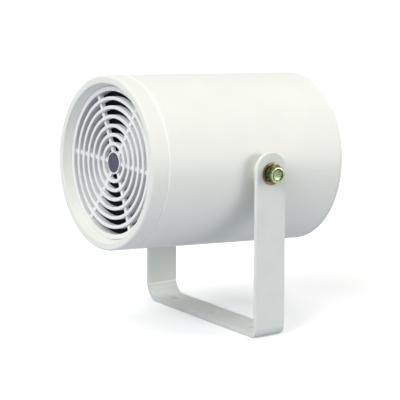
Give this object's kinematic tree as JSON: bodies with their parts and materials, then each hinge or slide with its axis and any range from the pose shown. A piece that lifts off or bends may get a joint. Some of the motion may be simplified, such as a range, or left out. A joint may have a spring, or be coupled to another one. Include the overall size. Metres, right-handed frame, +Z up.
{
  "type": "projection speaker",
  "caption": "Round white projection loudspeaker with a concentric ring grille, on a steel U bracket that lets it tilt.",
  "frame": {"origin": "middle of the underside of the bracket base, on the axis of its middle hole, straight below the pivot axis", "axes": "+Z up; the grille faces -Y, raised 3.9 degrees; the pivot axis runs along X"},
  "size_m": [0.1872, 0.2181, 0.2234],
  "materials": {
    "shell": "satin",
    "grille": "satin",
    "strap_paint": "satin",
    "badge": "satin",
    "screen": "matte",
    "foam": "matte",
    "black_steel": "satin",
    "surround": "matte",
    "cone_paper": "matte",
    "copper": "satin",
    "spider_cloth": "matte",
    "zinc_steel": "satin",
    "ferrite": "matte",
    "laminate": "matte",
    "black_zinc": "satin",
    "lamination": "matte",
    "nylon": "satin",
    "winding_tape": "satin",
    "rubber": "matte",
    "stainless": "satin",
    "gland_nylon": "satin",
    "brass": "satin",
    "fibre": "matte",
    "yellow_zinc": "satin"
  },
  "bodies": {
    "bracket": {"bracket": "strap_paint"},
    "head": {"housing": "shell", "front_bezel": "shell", "front_grille": "grille", "hub_badge": "badge", "dust_screen": "screen", "driver_gasket": "foam", "driver_basket": "black_steel", "surround": "surround", "spider": "spider_cloth", "top_plate": "zinc_steel", "magnet": "ferrite", "pole_yoke": "zinc_steel", "tag_strip": "laminate", "driver_screws": "black_zinc", "transformer_core": "lamination", "transformer_bobbin": "nylon", "transformer_winding": "winding_tape", "transformer_clamp": "zinc_steel", "transformer_screws": "zinc_steel", "terminal_block": "nylon", "terminal_screws": "zinc_steel", "rear_cover": "shell", "rear_seal": "rubber", "rear_screws": "stainless", "gland_body": "gland_nylon", "gland_seal": "rubber", "gland_nut": "gland_nylon", "gland_locknut": "gland_nylon", "right_insert": "brass", "right_friction_washer": "fibre", "right_flat_washer": "yellow_zinc", "right_spring_washer": "yellow_zinc", "right_bolt": "yellow_zinc", "left_insert": "brass", "left_friction_washer": "fibre", "left_flat_washer": "yellow_zinc", "left_spring_washer": "yellow_zinc", "left_bolt": "yellow_zinc"},
    "cone": {"cone": "cone_paper", "dust_cap": "cone_paper", "voice_coil": "copper"}
  },
  "joints": [
    {"name": "head_tilt", "type": "hinge", "parent": "bracket", "child": "head", "pos_m": [0, 0, 0.14201], "axis": [-1, 0, 0], "continuous": true},
    {"name": "cone_stroke", "type": "slide", "parent": "head", "child": "cone", "axis": [0, -0.9977, 0.068], "range_m": [-0.002, 0.002], "stiffness_N_per_m": 2500, "deforming": ["surround", "spider"]}
  ]
}
